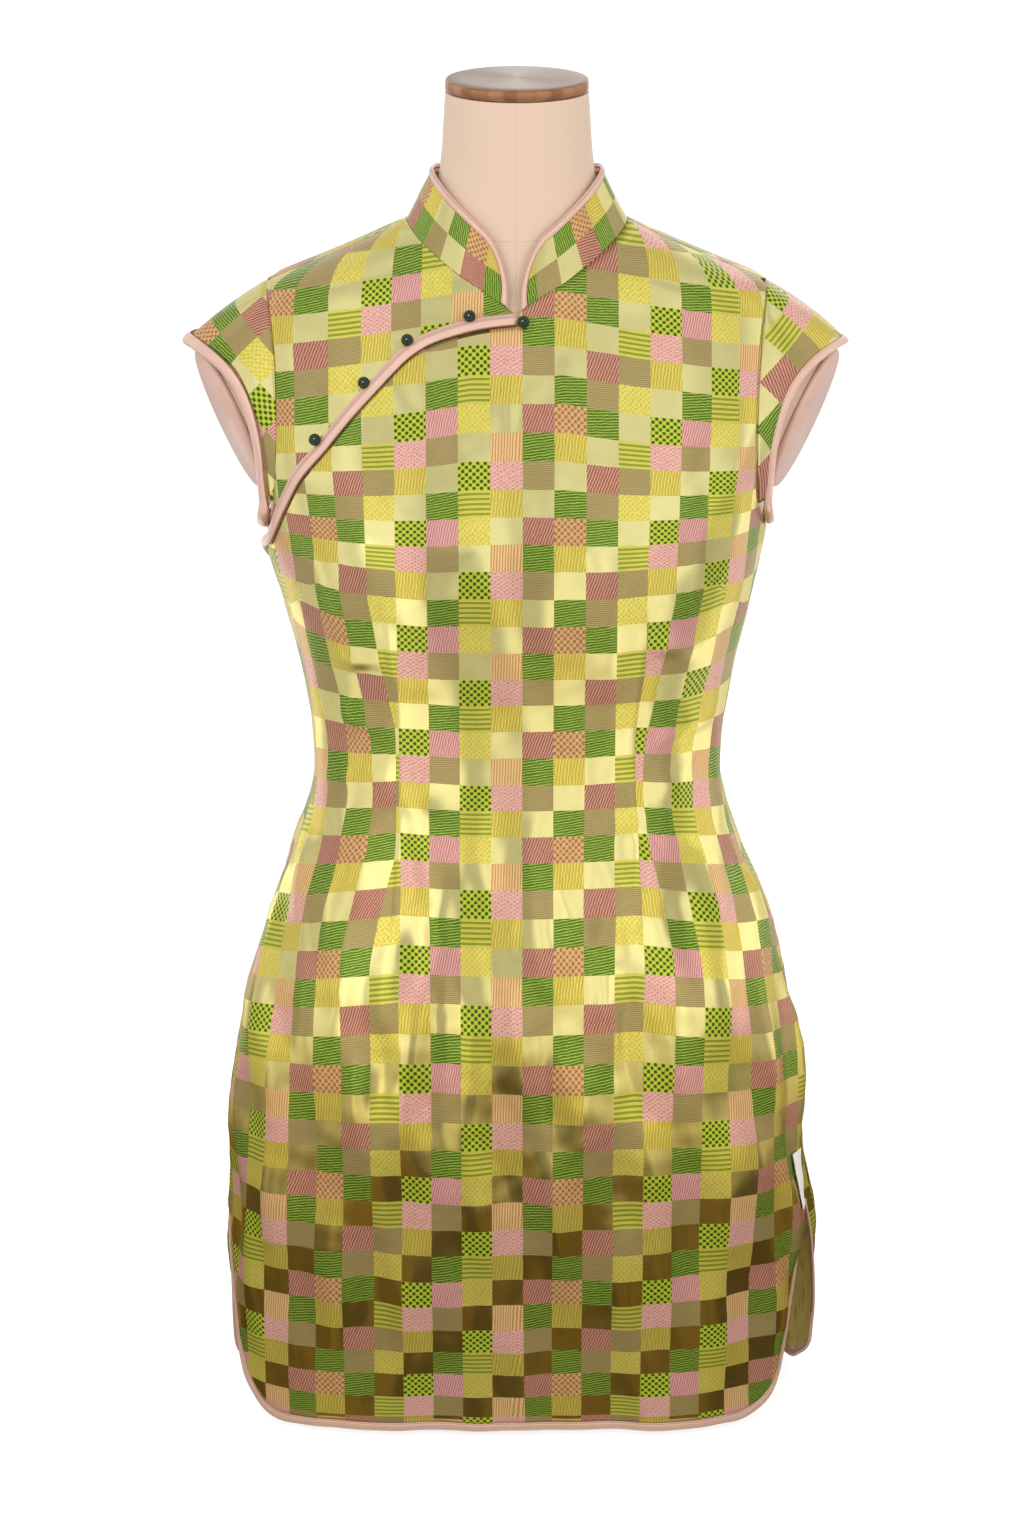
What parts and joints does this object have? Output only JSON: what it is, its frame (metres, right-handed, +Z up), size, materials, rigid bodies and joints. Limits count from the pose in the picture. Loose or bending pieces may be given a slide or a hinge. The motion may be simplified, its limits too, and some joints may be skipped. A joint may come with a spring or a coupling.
{
  "type": "cheongsam dress on a limbless dress form",
  "caption": "Short fitted cheongsam with stand collar, curved side opening, cap sleeves and slit hem, worn by a limbless dress form on a short stand.",
  "frame": {"origin": "centre of the stand's flat underside, directly under the form's axis", "axes": "+Z up along the form, -Y out of the front of the dress, -X to the wearer's right"},
  "size_m": [0.4358, 0.2625, 0.895],
  "materials": {
    "brocade": "satin brocade woven in small checks of cream, green, gold, taupe, pink and mauve",
    "binding": "pink-peach satin binding with a soft sheen",
    "bead": "glossy near-black green",
    "label": "blank white woven tape",
    "jersey": "matt peach-beige stretched jersey cover",
    "arm_plate": "smooth salmon pink",
    "cap": "brushed champagne metal",
    "stand": "dark satin paint"
  },
  "bodies": {
    "root": {"front_panel": "brocade", "front_yoke": "brocade", "back_panel": "brocade", "collar": "brocade", "sleeve_right": "brocade", "sleeve_left": "brocade", "binding_sleeve_right": "binding", "binding_sleeve_left": "binding", "binding_collar": "binding", "binding_placket": "binding", "binding_front_hem": "binding", "binding_back_hem": "binding", "bead_1": "bead", "bead_2": "bead", "bead_3": "bead", "bead_4": "bead", "bead_5": "bead", "side_label": "label", "form_torso": "jersey", "form_arm_plate_right": "arm_plate", "form_arm_plate_left": "arm_plate", "form_neck_cap": "cap", "form_pole": "stand", "form_base": "stand"}
  },
  "joints": []
}
